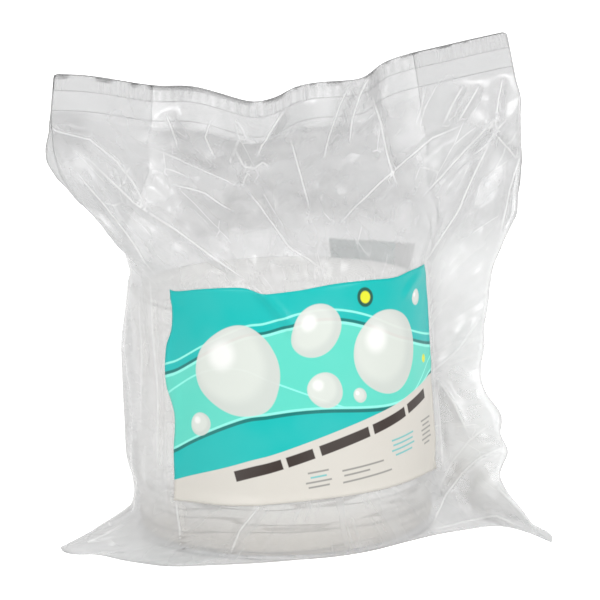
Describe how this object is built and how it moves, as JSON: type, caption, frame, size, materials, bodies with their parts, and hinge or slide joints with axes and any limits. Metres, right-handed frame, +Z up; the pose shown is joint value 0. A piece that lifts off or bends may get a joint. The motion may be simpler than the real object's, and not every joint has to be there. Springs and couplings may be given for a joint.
{
  "type": "wet wipes refill pack",
  "caption": "Sealed clear film bag with side gussets holding one coreless roll of wet wipes, with a printed film label on the front and a small one behind",
  "frame": {"origin": "on the underside of the bag, below the middle of the roll", "axes": "+Z up along the roll's axis; the front label faces -Y; +X to the right as seen from the front; the bag's base faces -Z"},
  "size_m": [0.3008, 0.2094, 0.295],
  "materials": {
    "clear_film": "clear, slightly milky polyethylene film, glossy and creased",
    "wipes_web": "moist white nonwoven, matte",
    "front_print": "satin printed film",
    "back_print": "satin printed film"
  },
  "bodies": {
    "root": {"film_bag": "clear_film", "wipes_roll": "wipes_web", "front_label": "front_print", "back_label": "back_print"}
  },
  "joints": []
}
